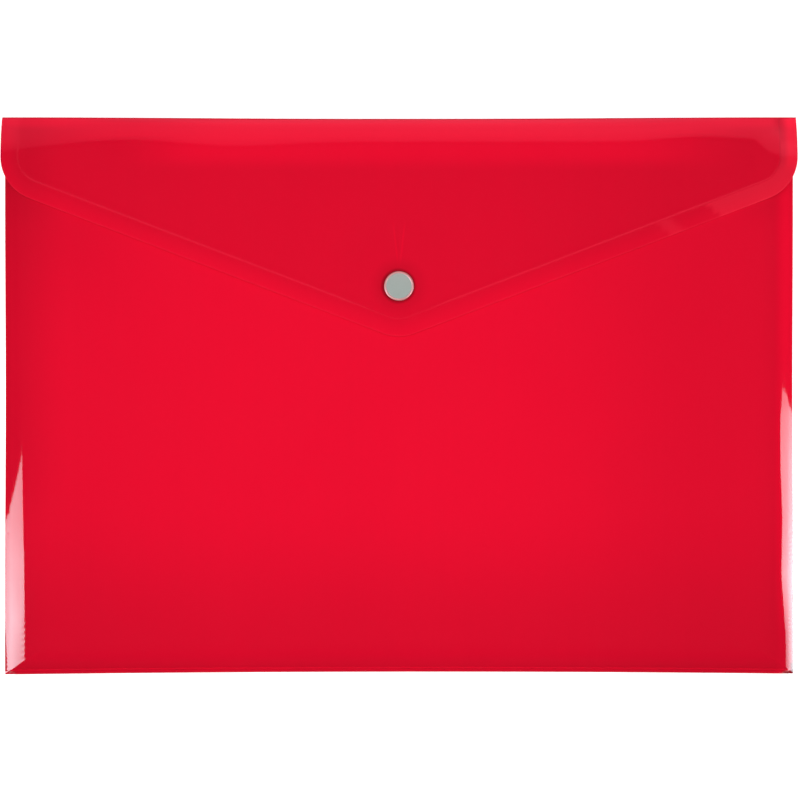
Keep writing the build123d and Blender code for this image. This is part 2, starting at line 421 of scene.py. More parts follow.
# Painted shade over the whole sheet for the light's falloff: how much deeper it is, and over which stretch
# across the wallet
SIDE_SHADE_FALLOFF = ((0.115, (40, 135)), (0.05, (-70, -140)), (0.10, (-140, -160)))


def painted_side_shade(x):
    """The sheet is painted a little deeper towards its sides, a painted shade for the light's falloff."""
    return 1 - sum(depth * smooth(stretch, x) for depth, stretch in SIDE_SHADE_FALLOFF)


# Flap: one sheet from the back sheet's lip, round the crease and down to the rounded point
point_drop = 94.2
shoulder_drop = 29.6
corner_radius = 19.0
rim_width = 7.4
bead_width = 0.8
bead_height = 0.12
crease_slope = 0.30
lip_slope = math.radians(32)
lip_radius = 12.0

flap_point = half_height - point_drop
shoulder_level = half_height - shoulder_drop
edge_slope = (shoulder_level - flap_point) / half_flap
edge_lean = math.atan(edge_slope)
crease_tilt = math.atan(crease_slope)
start_place = crease_place + crease_outer * math.sin(crease_tilt)
start_level = crease_level + crease_outer * math.cos(crease_tilt)

# Rows of the mesh: close together at the cut edge and on the bead
edge_insets = np.array([0, 0.08, 0.2, 0.4, 0.8])
rim_insets = np.arange(1.6, 6.0, 1.0)
bead_insets = rim_width + bead_width * np.array([-1.25, -0.75, -0.5, -0.25, 0, 0.25, 0.5, 0.75, 1.25, 2])
INSETS = np.concatenate([edge_insets, rim_insets, bead_insets])
SIDE_STEPS = 16
CORNER_STEPS = 16
EDGE_STEPS = 84
TIP_STEPS = 10
INNER_ROWS = 64
INNER_EASE = 1.5
CREASE_STEPS = 15
LIP_STEPS = 8
FOOT_STEPS = 9


def arc(centre, radius, angles):
    """Points on an arc."""
    return centre + radius * np.stack([np.cos(angles), np.sin(angles)], 1)


def half_outline(inset):
    """Right half of the flap's outline, from the crease to the middle of the point, drawn in by inset."""
    side = half_flap - inset
    point = flap_point + inset * math.hypot(1, edge_slope)
    radius = corner_radius - inset
    shoulder = point + side * edge_slope
    turn = math.pi / 2 - edge_lean
    corner = np.array([side - radius, shoulder + radius * math.tan(turn / 2)])
    tip = np.array([0.0, point + radius / math.cos(edge_lean)])
    corner_arc = arc(corner, radius, np.linspace(0, -turn, CORNER_STEPS + 1))
    tip_arc = arc(tip, radius, np.linspace(-turn, -math.pi / 2, TIP_STEPS + 1))
    side_line = np.linspace((side, start_place), corner_arc[0], SIDE_STEPS, endpoint=False)
    edge_line = np.linspace(corner_arc[-1], tip_arc[0], EDGE_STEPS, endpoint=False)[1:]
    return np.vstack([side_line, corner_arc, edge_line, tip_arc])


def outline(inset):
    """The whole outline, from the left end of the crease round the point to the right end."""
    right = half_outline(inset)
    left = right * (-1, 1)
    return np.vstack([left, right[-2::-1]])


# Knee, where the slope above the crease turns level: its run, longer at both ends, and slow waves along it
knee_run = 12.2
left_knee = 9.5
left_knee_power = 9
right_knee = 9.0
right_knee_stretch = (149.5, 158.5)
right_growth = 0.7
right_growth_start = 158.0
right_growth_length = 8.0
KNEE_WAVES = ((2.2, -68, 26), (-1.3, -115, 22), (-2.6, 128, 22))


def knee_length(x):
    """How far the slope above the crease runs before the flap lies level."""
    left_end = left_knee * np.clip(-x / half_flap, 0, 1) ** left_knee_power
    right_end = right_knee * smooth(right_knee_stretch, x)
    right_end += right_growth * np.clip(x - right_growth_start, 0, right_growth_length)
    return knee_run + left_end + right_end + humps(x, KNEE_WAVES)


# How the flap lies. A run is a distance below the crease.
end_ease = 0.45
end_ease_power = 6
flap_sink = 0.8
sink_run = (15, 75)
side_droop = 1.6
droop_run = (14, 60)
droop_stretch = (110, half_flap)


def slope_height(x, run):
    """Height of the slope above the crease and of the face after it, which sinks towards the point."""
    knee = knee_length(x)
    slope = crease_slope * (1 - end_ease * np.abs(x / half_flap) ** end_ease_power)
    bent = np.minimum(run, knee)
    return start_level + slope * (bent - bent**2 / (2 * knee)) - flap_sink * smooth(sink_run, run)


seat_margin = 0.6
tent_below = 26.0
tent_above = 33.0


def stud_tent(x, y):
    """How far the flap is drawn up or down round the press stud, so that it meets the cap."""
    far = np.hypot(x, y - stud_place)
    reach = np.where(y < stud_place, tent_below, tent_above)
    rise = flap_top - slope_height(0.0, start_place - stud_place)
    return rise * smooth((reach, cap_radius + seat_margin), far)


rim_fall = 0.2
edge_fall = 0.07
edge_round = (0.25, 0)
rim_run = (0, 12)
bead_run = (11, 19)


def rim_relief(run, inset):
    """The rim falls a little to its free edge, and a fine bead is embossed along its inner side."""
    fall = rim_fall * np.clip(1 - inset / rim_width, 0, 1) + edge_fall * smooth(edge_round, inset)
    bead = bead_height * bell(inset - rim_width, bead_width / 2)
    return bead * smooth(bead_run, run) - fall * smooth(rim_run, run)


pinch_depth = 0.35
pinch_place = 161.5
pinch_width = 2.6
pinch_run = 4.0
pinch_length = 3.0
pucker_height = 0.05
pucker_start = (9, 14)
pucker_end = (29, 20)
PUCKER_FOLDS = ((1.0, -2.0, 0.9), (0.8, 1.3, 0.8), (-1.0, 0.0, 0.7))


def small_folds(x, y, run):
    """A pinch at the right end of the crease, and fine puckers above the press stud."""
    pinch = pinch_depth * bell(x - pinch_place, pinch_width) * bell(run - pinch_run, pinch_length)
    above = y - stud_place
    pucker = pucker_height * smooth(pucker_start, above) * smooth(pucker_end, above)
    return pucker * humps(x, PUCKER_FOLDS) - pinch


def flap_height(x, y, inset):
    """Height of the flap's outer face. inset is the distance to its free edge."""
    run = np.maximum(start_place - y, 0.0)
    droop = side_droop * smooth(droop_run, run) * smooth(droop_stretch, np.abs(x))
    return slope_height(x, run) - droop + stud_tent(x, y) + rim_relief(run, inset) + small_folds(x, y, run)


# How the crease dips and rises. The dip's stretch is in shares of half the flap's width.
top_dip = 0.45
top_rise = 0.18
dip_stretch = (0.1, 0.95)
dip_length = 25.0
shoulder_lean = 0.0012
crease_draw = 0.004
draw_length = 8.0


def flap_warp(points):
    """The crease dips a little in the middle and the shoulders lean out below it."""
    x, y, z = points.T
    run = np.maximum(start_place - y, 0.0)
    dip = top_dip - (top_dip + top_rise) * smooth(dip_stretch, np.abs(x / half_flap))
    dip *= np.exp(-run / dip_length) * smooth((lip_start, crease_place), y)
    lean = 1 + shoulder_lean - crease_draw * np.exp(-run / draw_length)
    return np.stack([x * lean, y - dip, z], 1)


def fold_profile():
    """Section of the crease and the lip below it, from the flap's start to the back sheet."""
    turn = np.linspace(math.pi / 2 - crease_tilt, lip_slope - math.pi / 2, CREASE_STEPS)[1:]
    crease = arc((crease_place, crease_level), crease_outer, turn)
    foot_turn = np.linspace(lip_slope, 0, FOOT_STEPS) - math.pi / 2
    foot = arc((lip_start, lip_radius), lip_radius, foot_turn)
    slope = np.linspace(crease[-1], foot[0], LIP_STEPS, endpoint=False)[1:]
    return np.vstack([crease, slope, foot])


def flap_grid():
    """The flap laid flat: its points, their distance to the free edge, its faces and its first row."""
    loops = np.stack([outline(inset) for inset in INSETS], 1)
    stations, rings = loops.shape[:2]
    inner = loops[:, -1]
    steps = np.linalg.norm(np.diff(inner, axis=0), axis=1)
    along = np.concatenate([[0.0], np.cumsum(steps)])
    along /= along[-1]
    crease_x = inner[0, 0] + (inner[-1, 0] - inner[0, 0]) * along
    crease_row = np.stack([crease_x, np.full(stations, start_place)], 1)
    shares = 1 - np.linspace(1, 0, INNER_ROWS + 1)[1:, None] ** INNER_EASE
    inner_points = [inner[k] * (1 - shares) + crease_row[k] * shares for k in range(1, stations - 1)]

    rim_grid = numbered((stations, rings))
    inner_grid = np.zeros((stations, INNER_ROWS + 1), int)
    inner_grid[:, 0] = rim_grid[:, -1]
    inner_grid[0, :] = rim_grid[0, -1]
    inner_grid[-1, :] = rim_grid[-1, -1]
    inner_grid[1:-1, 1:] = rim_grid.size + numbered((stations - 2, INNER_ROWS))

    flat = np.vstack([loops.reshape(-1, 2)] + inner_points)
    inset = np.full(len(flat), INSETS[-1])
    inset[: rim_grid.size] = np.tile(INSETS, stations)
    first_row = np.concatenate([rim_grid[0], inner_grid[1:-1, -1], rim_grid[-1, ::-1]])
    return flat, inset, grid_faces(rim_grid) + grid_faces(inner_grid), first_row


def fold_strip(first_x, first_row, count):
    """Points and faces of the crease and the lip, which go on from the flap's first row."""
    profile = fold_profile()
    grid = np.zeros((len(first_row), len(profile) + 1), int)
    grid[:, 0] = first_row
    grid[:, 1:] = count + numbered((len(first_row), len(profile)))
    points = np.column_stack([np.repeat(first_x, len(profile)), np.tile(profile, (len(first_row), 1))])
    return points, grid_faces(grid)


# Painted light and shade of the flap: how much paler or deeper a place is than the plain face
# The whole flap is painted deeper than the front sheet, and the lip deeper still, a painted shade along the
# top edge
FLAP_TONE = 0.865
LIP_TONE = 0.8
# Painted light on the right and painted shade on the left, on top of the sheet's painted falloff
RIGHT_TONE = 0.035
right_tone_stretch = (40, 135)
LEFT_TONE = 0.03
left_tone_stretch = (-120, -145)

BAND_TONE = 0.14
band_run = (23, 14)
band_left = (-122, -85)
band_right = (150, 100)
BAND_LIFT = 0.2
band_lift_stretch = (60, 90)
SLOPE_TONE = 0.165
slope_knee_share = (0.85, 0.6)
SLOPE_LOSSES = ((0.6, (-60, -150)), (0.2, (-125, -150)))
RIGHT_SLOPE_LOSS = 0.85
right_slope_stretch = (112, 155)


def crease_painted_light(x, run):
    """Painted light on the slope above the crease and just below it, less towards both ends."""
    band = BAND_TONE * smooth(band_run, run) * smooth(band_left, x) * smooth(band_right, x)
    band *= 1 + BAND_LIFT * smooth(band_lift_stretch, x)
    slope = SLOPE_TONE * smooth(slope_knee_share, run / knee_length(x))
    slope *= 1 - sum(loss * smooth(stretch, x) for loss, stretch in SLOPE_LOSSES)
    slope *= 1 - RIGHT_SLOPE_LOSS * smooth(right_slope_stretch, x)
    return np.maximum(band, slope)


FOLD_LINE_TONE = 0.13
fold_line_run = (2.0, 0.6)
fold_line_stretch = (140, 105)
FOLD_LINE_ENDS = ((0.18, (5.5, 1.5), (-115, -155)), (0.14, (5.5, 1.5), (115, 155)))


def crease_painted_shade(x, run):
    """A deeper line along the crease, a painted shade, which is paler than the face at its two ends, a
    painted light.
    """
    line = FOLD_LINE_TONE * smooth(fold_line_run, run) * smooth(fold_line_stretch, np.abs(x))
    return patches(run, x, FOLD_LINE_ENDS) - line


RIM_TONE = 0.14
rim_tone_run = (0, 30)
rim_tone_left = (-150, -160)


def rim_painted_light(x, run, inset):
    """Painted light: paler sheet towards the free edge."""
    reach = np.maximum(smooth(rim_tone_run, run), smooth(rim_tone_left, x))
    return RIM_TONE * reach * np.clip(1 - inset / rim_width, 0, 1)


pale_slant = 1.2
pale_corner = (227.2, 228.2)
PALE_PATCH = 0.65
pale_patch_start = (196, 198)
pale_patch_end = (207, 203)
pale_run = (8, 12)
pale_margin = 0.6
pale_inset = (rim_width, rim_width - pale_margin)


def rim_painted_reflection(x, y, inset):
    """Painted reflection on two stretches of the right rim: the corner, and a patch below it."""
    slant = x + pale_slant * y
    patch = PALE_PATCH * smooth(pale_patch_start, slant) * smooth(pale_patch_end, slant)
    share = smooth(pale_run, start_place - y) * smooth(pale_inset, inset)
    return (smooth(pale_corner, slant) + patch) * share


PINCH_TONE = 0.18
pinch_tone_place = 161.3
pinch_tone_width = 1.8
pinch_tone_run = 1.0
pinch_tone_length = 4.5
STRIP_TONE = 0.22
STRIP_FALL = 0.34
strip_stretch = (150, 158)
strip_inset = (8.0, 7.4)
strip_run = (24, 17)
strip_fall_inset = (3.2, 6.4)


def right_end_painted_shade(x, run, inset):
    """A painted shade in the pinch at the right end of the crease, and beside it a strip of painted shade
    and light that is pale at its free edge.
    """
    pinch = bell(x - pinch_tone_place, pinch_tone_width) * bell(run - pinch_tone_run, pinch_tone_length)
    strip = smooth(strip_stretch, x) * smooth(strip_inset, inset) * smooth(strip_run, run)
    return strip * (STRIP_TONE - STRIP_FALL * smooth(strip_fall_inset, inset)) - PINCH_TONE * pinch


crease_end_stretch = (160, 163)
crease_end_run = (14, 8)


def crease_ends(x, run):
    """The two ends of the crease."""
    return smooth(crease_end_stretch, np.abs(x)) * smooth(crease_end_run, run)


# Painted reflections: on the right rim and at the two ends of the crease
RIM_REFLECTION_TONE = 0.06
CREASE_END_TONE = 0.05


def flap_tone(x, y, inset):
    """Tone of the flap's sheet, all of it painted light and shade."""
    run = start_place - y
    tone = FLAP_TONE + RIGHT_TONE * smooth(right_tone_stretch, x) - LEFT_TONE * smooth(left_tone_stretch, x)
    tone += crease_painted_light(x, run) + crease_painted_shade(x, run)
    tone = np.maximum(tone, FLAP_TONE + rim_painted_light(x, run, inset))
    tone += RIM_REFLECTION_TONE * rim_painted_reflection(x, y, inset) + CREASE_END_TONE * crease_ends(x, run)
    return (tone + right_end_painted_shade(x, run, inset)) * painted_side_shade(x)


# Painted highlights where the cut edge and the bead catch the light, and painted reflections on the right
# rim and at the crease's ends
CUT_EDGE_HIGHLIGHT = 0.16
cut_edge_inset = (0.5, 0.1)
BEAD_HIGHLIGHT = 0.09
bead_edge_width = 0.35
edge_run = (0, 20)
RIM_REFLECTION_HIGHLIGHT = 0.19
CREASE_END_HIGHLIGHT = 0.07


def flap_painted_highlight(x, y, inset):
    """How much painted highlight the flap has at its cut edge and on its bead, and painted reflection on
    the right rim and at the crease's ends.
    """
    run = start_place - y
    painted_highlight = CUT_EDGE_HIGHLIGHT * smooth(cut_edge_inset, inset) + BEAD_HIGHLIGHT * bell(inset - rim_width, bead_edge_width)
    painted_highlight *= smooth(edge_run, run)
    return painted_highlight + RIM_REFLECTION_HIGHLIGHT * rim_painted_reflection(x, y, inset) + CREASE_END_HIGHLIGHT * crease_ends(x, run)


def build_flap():
    """The flap's sheet with the crease and the lip."""
    flat, inset, faces, first_row = flap_grid()
    x, y = flat.T
    upper = np.column_stack([flat, flap_height(x, y, inset)])
    lower, lower_faces = fold_strip(x[first_row], first_row, len(flat))
    points = flap_warp(np.vstack([upper, lower]))
    faces = without_repeats(faces + lower_faces)
    under = points - sheet * surface_normals(points, faces)
    tone = np.concatenate([flap_tone(x, y, inset), np.full(len(lower), LIP_TONE)])
    painted_highlight = np.concatenate([flap_painted_highlight(x, y, inset), np.zeros(len(lower))])
    piece = sheet_piece("flap_sheet", points, under, faces, stud_shaded_sheet, tone, painted_highlight)
    from_stud = (np.vstack([points, under]) - (0, stud_place, 0)) * (1, 1, 0)
    offset = piece.data.attributes.new("stud_offset", "FLOAT_VECTOR", "POINT")
    offset.data.foreach_set("vector", from_stud.astype(np.float32).ravel())
    return piece


# Front sheet: a flat crown with one curved flank on each side, mitred into the bottom flank
side_flank = 15.0
edge_height = 0.06
bottom_flank = 10.0
bottom_foot = 2.0
bottom_roll = 2.5
bend_radius = 0.8

side_flat = half_width - side_flank
side_drop = front_top - edge_height
side_radius = (side_flank**2 + side_drop**2) / (2 * side_drop)
bottom_flat = fold_edge - bottom_flank
bottom_drop = front_top - bottom_foot

FLANK_STEPS = 26
WELD_STEPS = 5
CROWN_STEPS = 76
BEND_STEPS = 9
FOOT_SLOPE_STEPS = 3
FINE_ROW = 0.3
WIDE_ROW = 2.6
FINE_LIMIT = -58.0


def arc_drop(run, radius):
    """How far an arc has fallen below its level start after a run."""
    return radius - np.sqrt(radius**2 - run**2)


def side_level(x):
    """Height of the side flanks."""
    return front_top - arc_drop(np.clip(np.abs(x) - side_flat, 0, None), side_radius)


def bottom_level(y):
    """Height of the bottom flank."""
    run = np.clip(-bottom_flat - y, 0, bottom_flank)
    return front_top - bottom_drop * (run / bottom_flank) ** bottom_roll


def flank_runs():
    """Steps out from the crown's edge to the weld."""
    return np.linspace(0, weld_inner - side_flat, FLANK_STEPS + 1)


def front_columns():
    """Places across the wallet, close together on the flanks, out to the edges of the welds."""
    weld = np.linspace(weld_inner, half_width, WELD_STEPS + 1)[1:]
    right = np.concatenate([(side_flat + flank_runs())[1:], weld])
    crown = np.linspace(-side_flat, side_flat, CROWN_STEPS + 1)
    return np.concatenate([-right[::-1], crown, right])


def front_rows():
    """Places up the wallet to the mouth. On the bottom flank they are as high as the side flanks' steps."""
    runs = bottom_flank * (arc_drop(flank_runs(), side_radius) / bottom_drop) ** (1 / bottom_roll)
    runs = np.append(runs, bottom_flank)
    fine = np.arange(-bottom_flat + FINE_ROW, FINE_LIMIT, FINE_ROW)
    wide = np.linspace(FINE_LIMIT, mouth, int((mouth - FINE_LIMIT) / WIDE_ROW) + 1)
    return np.concatenate([(-bottom_flat - runs)[::-1], fine, wide])


def bottom_profile():
    """Section of the bottom fold below the flank's foot, from underneath round to the foot."""
    turn = np.linspace(-math.pi / 2, -1.5 * math.pi, BEND_STEPS)
    bend = arc((bend_radius - half_height, bend_radius), bend_radius, turn)
    slope = np.linspace(bend[-1], (-fold_edge, bottom_foot), FOOT_SLOPE_STEPS, endpoint=False)[1:]
    return np.vstack([[(-fold_edge, 0.0)], bend, slope])


# How the body departs from a rectangle: the bottom edge is bowed and hangs at its ends, the sides stand out
bottom_bow = 1.03
bottom_hang = 0.72
bottom_tilt = 0.17
bow_stretch = (-55.0, 8.0 - half_height)
spread_least = 0.12
spread_more = 0.28
spread_rise = (0, 80)
spread_stretch = (half_width - 11.5, half_width)


def body_bow(x, y):
    """How far the bottom edge is drawn in, most in the middle."""
    drawn = bottom_bow * (1 - (x / half_width) ** 2) - bottom_hang + bottom_tilt * x / half_width
    return drawn * smooth(bow_stretch, y)


def body_spread(x, y):
    """How far the sides stand out, least at half height."""
    reach = spread_least + spread_more * smooth(spread_rise, np.abs(y))
    return np.sign(x) * reach * smooth(spread_stretch, np.abs(x))


mitre_lean = 0.74
mitre_least = 0.05
mitre_least_share = 0.03
mitre_stretch = (half_width - 5.0, half_width - 2.5)


def corner_share(x, y):
    """The bottom fold runs out in a mitre at its two corners: 1 inside it, almost 0 at the edge."""
    mitre = np.maximum((half_width - np.abs(x)) * mitre_lean, mitre_least)
    share = np.clip((y + half_height) / mitre, mitre_least_share, 1)
    return share ** smooth(mitre_stretch, np.abs(x))


def fold_squeeze(x):
    """How much of its height the bottom fold keeps under the side flanks."""
    return np.minimum(1, side_level(x) / bottom_foot)


belly_depth = 0.12
belly_place = (-40, 20)
belly_length = (55, 48)
belly_margin = (0, 30)
belly_clear = (cap_radius + 2, 30)


def belly(x, y):
    """Shallow hollows of the crown, which stay clear of its borders and of the press stud."""
    across = np.sin((x - belly_place[0]) / belly_length[0])
    up = np.sin((y - belly_place[1]) / belly_length[1])
    share = smooth(belly_margin, side_flat - np.abs(x)) * smooth(belly_margin, y + bottom_flat)
    share *= smooth(belly_clear, np.hypot(x, y - stud_place))
    return belly_depth * (across * up - 1) * share


notch_pitch = 2.5
notch_place = -159.55
notch_width = 0.7
notch_height = 0.06
notch_stretch = (-75, -108)


def notches(x, y):
    """A row of small tool marks on the left flank."""
    zigzag = np.abs(((y / notch_pitch) % 1) * 2 - 1) - 0.5
    return notch_height * zigzag * bell(x - notch_place, notch_width) * smooth(notch_stretch, y)


def body_surface():
    """Outer face of the front sheet, the bottom fold and the welds, as a grid of points."""
    columns = front_columns()
    x, y = np.meshgrid(columns, front_rows(), indexing="ij")
    z = np.minimum(side_level(x), bottom_level(y)) + belly(x, y) + notches(x, y)
    profile = bottom_profile()
    low_x, low_y = np.meshgrid(columns, profile[:, 0], indexing="ij")
    low_z = profile[:, 1] * fold_squeeze(low_x) * corner_share(low_x, low_y)
    x = np.hstack([low_x, x])
    y = np.hstack([low_y, y])
    z = np.hstack([low_z, z])
    return np.stack([x + body_spread(x, y), y + body_bow(x, y), z], 2), len(profile)


body_points, low_rows = body_surface()


def split_mitres(grid):
    """Quads of the front's grid, where those on the two mitred corners are cut along the mitre."""
    faces = []
    across = len(grid) - 1
    for i in range(across):
        near, far = grid[i].tolist(), grid[i + 1].tolist()
        for j in range(len(near) - 1):
            a, b, c, d = near[j], far[j], far[j + 1], near[j + 1]
            step = j - low_rows - 1
            on_flank = 0 <= step < FLANK_STEPS
            if on_flank and i == step:
                faces += [(a, b, c), (a, c, d)]
            elif on_flank and across - 1 - i == step:
                faces += [(a, b, d), (b, c, d)]
            else:
                faces.append((a, b, c, d))
    return faces


# Painted light and shade of the body. A patch is an amount, a stretch up the wallet and a stretch across
# it.
BODY_SHADE_PATCHES = (
    # Painted shadows below the left corner and under both shoulders of the flap, and painted light low on
    # the left
    (-0.07, (25, 85), (-95, -150)),
    (-0.06, (68, 86), (-140, -154)),
    (-0.06, (68, 86), (140, 154)),
    (0.05, (-30, -60), (-140, -158)),
)
# Painted shade for the light's falloff towards the bottom, less on the right
LOW_TONE = 0.14
low_stretch = (-45, -105)
LOW_RIGHT_LOSS = 0.2
low_right_stretch = (60, 120)
# Painted shade in the bottom fold, deepest at its right corner
FOLD_TONE = 0.35
FOLD_RIGHT_TONE = 0.2
fold_right_stretch = (163, 166)
fold_left_stretch = (-163, -158)
fold_tone_level = (1.3, 0.5)
fold_tone_stretch = (-113, -114.5)
# Painted light along both side edges, standing in for light through the sheet, less low on the right
RIGHT_EDGE_TONE = 0.29
right_edge_stretch = (weld_inner - 7.0, weld_inner)
RIGHT_EDGE_LOSS = 0.6
right_edge_loss_stretch = (-85, -105)
LEFT_EDGE_TONE = 0.03
left_edge_stretch = (2.5 - weld_inner, -weld_inner)


def body_painted_shade(points):
    """Painted shade, deeper at the bottom, at the fold and beside the flap, and painted light at the side
    edges.
    """
    x, y, z = points.T
    low = LOW_TONE * smooth(low_stretch, y) * (1 - LOW_RIGHT_LOSS * smooth(low_right_stretch, x))
    fold = FOLD_TONE + FOLD_RIGHT_TONE * smooth(fold_right_stretch, x)
    fold *= smooth(fold_tone_level, z) * smooth(fold_tone_stretch, y) * smooth(fold_left_stretch, x)
    right = RIGHT_EDGE_TONE * smooth(right_edge_stretch, x)
    right *= 1 - RIGHT_EDGE_LOSS * smooth(right_edge_loss_stretch, y)
    left = LEFT_EDGE_TONE * smooth(left_edge_stretch, x)
    return painted_side_shade(x) * (1 - low) + patches(y, x, BODY_SHADE_PATCHES) - fold + right + left


# Painted highlight along the front sheet's edge at the mouth
MOUTH_HIGHLIGHT = 0.3
mouth_stretch = (mouth - 0.6, mouth - 0.1)
thin_reach = 1.5
thin_least = 0.2


def build_front():
    """The front sheet with the bottom fold, which is thinner where the fold runs out."""
    grid_points = body_points[WELD_STEPS:-WELD_STEPS]
    faces = split_mitres(numbered(grid_points.shape[:2]))
    points = grid_points.reshape(-1, 3)
    x, y = points[:, 0], points[:, 1]
    squeeze = np.maximum(fold_squeeze(x) * corner_share(x, y - body_bow(x, y)), thin_least)
    thickness = np.where(y < thin_reach - fold_edge, sheet * squeeze**2, sheet)
    under = points - thickness[:, None] * surface_normals(points, faces)
    painted_highlight = MOUTH_HIGHLIGHT * smooth(mouth_stretch, y)
    return sheet_piece("front_sheet", points, under, faces, red_sheet, body_painted_shade(points), painted_highlight)


weld_pitch = 1.8
dent_share = 0.22
dent_depth = 0.03
dent_start = (0.2, 0.7)
dent_end = (1.8, 1.2)


def build_weld(name, columns):
    """One welded side: the strip between the flank and the edge, with the dents of the welding tool."""
    grid_points = body_points[columns, low_rows // 2 :].copy()
    faces = grid_faces(numbered(grid_points.shape[:2]))
    points = grid_points.reshape(-1, 3)
    x, y = points[:, 0], points[:, 1]
    across = np.abs(x) - weld_inner
    dent = bell(((y / weld_pitch) % 1) - 0.5, dent_share)
    points[:, 2] -= dent_depth * dent * smooth(dent_start, across) * smooth(dent_end, across)
    under = points * (1, 1, 0)
    return sheet_piece(name, points, under, faces, red_sheet, body_painted_shade(points), np.zeros(len(points)))


# Back sheet: flat on what the wallet lies on, between the bottom fold, the welds and the lip
BACK_COLUMNS = 60
BACK_ROWS = 48
BACK_TONE = 0.95


def build_back():
    """The back sheet, whose lower edge follows the bottom fold."""
    columns = np.linspace(-weld_inner, weld_inner, BACK_COLUMNS)
    rows = np.linspace(-fold_edge, lip_start, BACK_ROWS)
    x, y = np.meshgrid(columns, rows, indexing="ij")
    z = np.full_like(x, sheet)
    points = np.stack([x + body_spread(x, y), y + body_bow(x, y), z], 2).reshape(-1, 3)
    faces = grid_faces(numbered(x.shape))
    under = points * (1, 1, 0)
    tone = np.full(len(points), BACK_TONE)
    return sheet_piece("back_sheet", points, under, faces, red_sheet, tone, np.zeros(len(points)))


# Cap of the press stud: a turned profile with a polished rim round a satin centre, the rim's pale colour a
# painted highlight
CAP_SIDES = 128
CAP_SHARP_ANGLE = 60
cap_wall = 0.3
cap_lip = 1.1
cap_hole = 0.02
cap_shoulder = 0.7
face_drop = 0.12
cap_face = cap_top - face_drop
inner_corner = (5.2, 0.4)
rim_stretch = (5.3, 5.45)
rim_level = (flap_top + 0.5, cap_top - 0.6)

# Radius and fall below the face, out to the groove inside the rim
FACE_CURVE = ((cap_hole, 0.0), (1.5, 0.0), (3.2, 0.01), (4.6, 0.03), (5.1, 0.06), (5.28, 0.11), (5.4, 0.06))
# Distance inside the edge and fall below the top, over the rim and down to the wall
RIM_CURVE = ((0.75, 0.04), (0.6, 0.0), (0.4, 0.05), (0.22, 0.18), (0.09, 0.4), (0.0, cap_shoulder))
# Distance inside the edge and rise above the flap, at the foot of the wall
FOOT_CURVE = ((0.0, 0.3), (0.08, 0.1))


def cap_profile():
    """Radius and height along the cap's section, from the middle of its face round to the inside."""
    inside = cap_radius - cap_wall
    lip = cap_radius - cap_lip
    face = [(radius, cap_face - fall) for radius, fall in FACE_CURVE]
    rim = [(cap_radius - inset, cap_top - fall) for inset, fall in RIM_CURVE]
    foot = [(cap_radius - inset, flap_top + rise) for inset, rise in FOOT_CURVE]
    lip_top = flap_top + cap_wall
    rolled_lip = [(inside, flap_top), (lip, flap_top), (lip, lip_top), (inside, lip_top)]
    inner_radius, inner_fall = inner_corner
    hollow = [
        (inside, cap_top - cap_shoulder),
        (inner_radius, cap_face - inner_fall),
        (cap_hole, cap_face - cap_wall),
    ]
    return np.array(face + rim + foot + rolled_lip + hollow)


def build_cap():
    """The cap, turned about the press stud's axis."""
    profile = cap_profile()
    angles = np.linspace(0, 2 * math.pi, CAP_SIDES, endpoint=False)
    radius, angle = np.meshgrid(profile[:, 0], angles, indexing="ij")
    level = np.repeat(profile[:, 1], CAP_SIDES).reshape(radius.shape)
    points = np.stack([radius * np.cos(angle), stud_place + radius * np.sin(angle), level], 2)
    grid = numbered(radius.shape)
    faces = grid_faces(np.hstack([grid, grid[:, :1]]))
    faces.append(tuple(grid[0].tolist()))
    faces.append(tuple(grid[-1, ::-1].tolist()))
    piece = make_piece("cap", points.reshape(-1, 3), faces, satin_cap, CAP_SHARP_ANGLE)
    rim = smooth(rim_stretch, radius) * smooth(rim_level, level)
    set_attribute(piece, "rim", rim.ravel())
    set_attribute(piece, "radius", radius.ravel())
    return piece


flap_piece = build_flap()
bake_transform(flap_piece)
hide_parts("flap", "top_fold")

front_piece = build_front()
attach(front_piece, "pocket")
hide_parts("front_panel", "bottom_fold")

left_weld = build_weld("left_weld_strip", slice(0, WELD_STEPS + 1))
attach(left_weld, "pocket")
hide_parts("left_side_weld")

right_weld = build_weld("right_weld_strip", slice(-WELD_STEPS - 1, None))
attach(right_weld, "pocket")
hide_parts("right_side_weld")

back_piece = build_back()
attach(back_piece, "pocket")
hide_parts("back_panel")

cap_piece = build_cap()
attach(cap_piece, "flap")
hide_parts("cap_shell")


# Finishes of the press stud's inner pieces, which keep their own shapes
STUD_FINISHES = {
    "cap_rivet": plated_brass,
    "socket": plated_brass,
    "socket_spring": spring_steel,
    "stud": plated_brass,
    "stud_rivet": plated_brass,
}
for node_name, finish in STUD_FINISHES.items():
    slots = frame["nodes"][node_name].data.materials
    slots.clear()
    slots.append(finish)


# Camera: straight above the wallet, with the wallet's middle at one pixel of the square picture
PICTURE_PIXELS = 800
middle_pixel = (399.0, 395.5)
pixel_size = 0.4262 * MM
camera_height = 1.5
sensor_width = 36.0
camera_x = (PICTURE_PIXELS / 2 - middle_pixel[0]) * pixel_size
camera_y = (middle_pixel[1] - PICTURE_PIXELS / 2) * pixel_size
camera_data = bpy.data.cameras.new("camera")
camera_data.sensor_width = sensor_width
camera_data.lens = sensor_width * camera_height / (PICTURE_PIXELS * pixel_size)
camera = add_object("camera", camera_data)
camera.location = (camera_x, camera_y, camera_height)
bpy.context.scene.camera = camera


# Surroundings, in metres
WHITE = (1.0, 1.0, 1.0, 1.0)
BLACK = (0.0, 0.0, 0.0, 1.0)
FLOOR_COLOUR = (0.8, 0.8, 0.8, 1.0)
FLOOR_ROUGHNESS = 0.9
FLOOR_GLOW = 0.7
floor_reach = 6.0
floor_level = -0.00003


